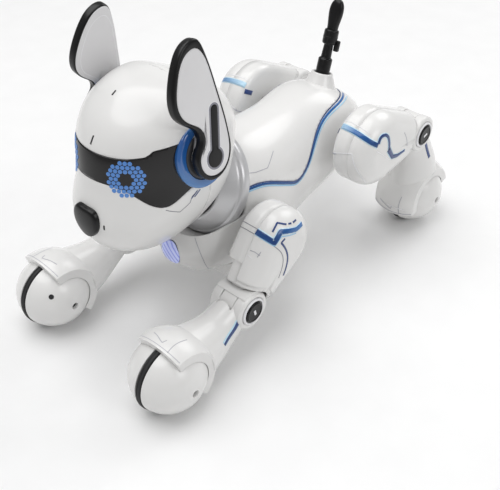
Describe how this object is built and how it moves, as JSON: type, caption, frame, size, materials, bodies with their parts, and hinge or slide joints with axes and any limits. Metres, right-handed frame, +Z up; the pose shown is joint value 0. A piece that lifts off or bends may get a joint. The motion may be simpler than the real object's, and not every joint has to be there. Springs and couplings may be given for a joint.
{
  "type": "robot dog toy",
  "caption": "Crouching robot dog toy with glossy shells, dotted eye display, large upright ears, jointed legs on wheeled pod feet, and a wagging tail.",
  "frame": {"origin": "on the floor under the middle of the dog's overall box", "axes": "+Z up, the dog faces -Y, +X is the dog's left side"},
  "size_m": [0.1398, 0.2772, 0.187],
  "materials": {
    "white_shell": "glossy white moulded plastic",
    "ear_plate": "glossy white moulded plastic",
    "black_gloss": "polished black plastic",
    "tyre": "soft black rubber",
    "dark_plastic": "moulded dark grey plastic",
    "silver": "silver metallic paint",
    "lamp_lens": "milky lilac lens",
    "blue_lens": "translucent blue plastic",
    "eye_dots": "glowing blue dots",
    "circuit_board": "green circuit board",
    "steel": "zinc-plated steel",
    "cell_sleeve": "shrink sleeve"
  },
  "bodies": {
    "torso": {"back_shell": "white_shell", "belly_shell": "white_shell", "battery_cover": "white_shell", "battery_cells": "cell_sleeve", "main_board": "circuit_board", "speaker": "dark_plastic", "chest_lamp": "lamp_lens", "cover_screws": "steel", "neck_collar": "silver", "tail_boss": "white_shell", "front_gearbox": "dark_plastic", "rear_gearbox": "dark_plastic"},
    "head": {"head_crown": "white_shell", "muzzle": "white_shell", "head_rear": "white_shell", "visor": "black_gloss", "nose": "black_gloss", "ear_rings": "blue_lens", "ear_hubs": "dark_plastic", "eye_displays": "eye_dots", "head_gearbox": "dark_plastic"},
    "front_thighs": {"front_leg_shaft": "steel", "thigh_inner_front_left": "white_shell", "thigh_inner_front_right": "white_shell", "thigh_outer_front_left": "white_shell", "thigh_outer_front_right": "white_shell"},
    "rear_thighs": {"rear_leg_shaft": "steel", "thigh_inner_rear_left": "white_shell", "thigh_inner_rear_right": "white_shell", "thigh_outer_rear_left": "white_shell", "thigh_outer_rear_right": "white_shell"},
    "tail": {"tail_stem": "black_gloss", "tail_blade": "black_gloss"},
    "power_switch": {"power_switch": "dark_plastic"},
    "ear_left": {"ear_rim_left": "black_gloss", "ear_plates_left": "ear_plate", "ear_inlay_left": "black_gloss"},
    "ear_right": {"ear_rim_right": "black_gloss", "ear_plates_right": "ear_plate", "ear_inlay_right": "black_gloss"},
    "lower_leg_front_left": {"lower_leg_front_left": "white_shell", "knee_pin_front_left": "black_gloss", "pod_domes_front_left": "white_shell"},
    "wheel_front_left": {"tyre_front_left": "tyre", "wheel_hub_front_left": "dark_plastic"},
    "lower_leg_front_right": {"lower_leg_front_right": "white_shell", "knee_pin_front_right": "black_gloss", "pod_domes_front_right": "white_shell"},
    "wheel_front_right": {"tyre_front_right": "tyre", "wheel_hub_front_right": "dark_plastic"},
    "lower_leg_rear_left": {"lower_leg_rear_left": "white_shell", "knee_pin_rear_left": "black_gloss", "pod_domes_rear_left": "white_shell"},
    "wheel_rear_left": {"tyre_rear_left": "tyre", "wheel_hub_rear_left": "dark_plastic"},
    "lower_leg_rear_right": {"lower_leg_rear_right": "white_shell", "knee_pin_rear_right": "black_gloss", "pod_domes_rear_right": "white_shell"},
    "wheel_rear_right": {"tyre_rear_right": "tyre", "wheel_hub_rear_right": "dark_plastic"}
  },
  "joints": [
    {"name": "head_turn", "type": "hinge", "parent": "torso", "child": "head", "pos_m": [0, -0.039, 0.083], "axis": [0, -0.9272, 0.3746], "range_deg": [-25, 25]},
    {"name": "ear_left_swing", "type": "hinge", "parent": "head", "child": "ear_left", "pos_m": [0.0401, -0.071, 0.13], "axis": [0.9848, 0, 0.1736], "range_deg": [-20, 20]},
    {"name": "ear_right_swing", "type": "hinge", "parent": "head", "child": "ear_right", "pos_m": [-0.0401, -0.071, 0.13], "axis": [0.9848, 0, -0.1736], "range_deg": [-20, 20]},
    {"name": "front_legs_swing", "type": "hinge", "parent": "torso", "child": "front_thighs", "pos_m": [0, -0.03294, 0.06191], "axis": [1, 0, 0], "range_deg": [-12, 60]},
    {"name": "rear_legs_swing", "type": "hinge", "parent": "torso", "child": "rear_thighs", "pos_m": [0, 0.05543, 0.08212], "axis": [1, 0, 0], "range_deg": [-60, 10]},
    {"name": "knee_front_left", "type": "hinge", "parent": "front_thighs", "child": "lower_leg_front_left", "pos_m": [0.049, -0.06266, 0.03515], "axis": [1, 0, 0], "range_deg": [-25, 40]},
    {"name": "wheel_front_left_spin", "type": "hinge", "parent": "lower_leg_front_left", "child": "wheel_front_left", "pos_m": [0.049, -0.117, 0.0216], "axis": [1, 0, 0], "continuous": true},
    {"name": "knee_front_right", "type": "hinge", "parent": "front_thighs", "child": "lower_leg_front_right", "pos_m": [-0.049, -0.06266, 0.03515], "axis": [1, 0, 0], "range_deg": [-25, 40]},
    {"name": "wheel_front_right_spin", "type": "hinge", "parent": "lower_leg_front_right", "child": "wheel_front_right", "pos_m": [-0.049, -0.117, 0.0216], "axis": [1, 0, 0], "continuous": true},
    {"name": "knee_rear_left", "type": "hinge", "parent": "rear_thighs", "child": "lower_leg_rear_left", "pos_m": [0.049, 0.09894, 0.07554], "axis": [1, 0, 0], "range_deg": [-5, 45]},
    {"name": "wheel_rear_left_spin", "type": "hinge", "parent": "lower_leg_rear_left", "child": "wheel_rear_left", "pos_m": [0.049, 0.114, 0.0216], "axis": [1, 0, 0], "continuous": true},
    {"name": "knee_rear_right", "type": "hinge", "parent": "rear_thighs", "child": "lower_leg_rear_right", "pos_m": [-0.049, 0.09894, 0.07554], "axis": [1, 0, 0], "range_deg": [-5, 45]},
    {"name": "wheel_rear_right_spin", "type": "hinge", "parent": "lower_leg_rear_right", "child": "wheel_rear_right", "pos_m": [-0.049, 0.114, 0.0216], "axis": [1, 0, 0], "continuous": true},
    {"name": "tail_wag", "type": "hinge", "parent": "torso", "child": "tail", "pos_m": [0, 0.069, 0.1085], "axis": [0, 0.9613, -0.2756], "range_deg": [-20, 20]},
    {"name": "power_switch_slide", "type": "slide", "parent": "torso", "child": "power_switch", "axis": [1, 0, 0], "range_m": [-0.002, 0.002]}
  ]
}
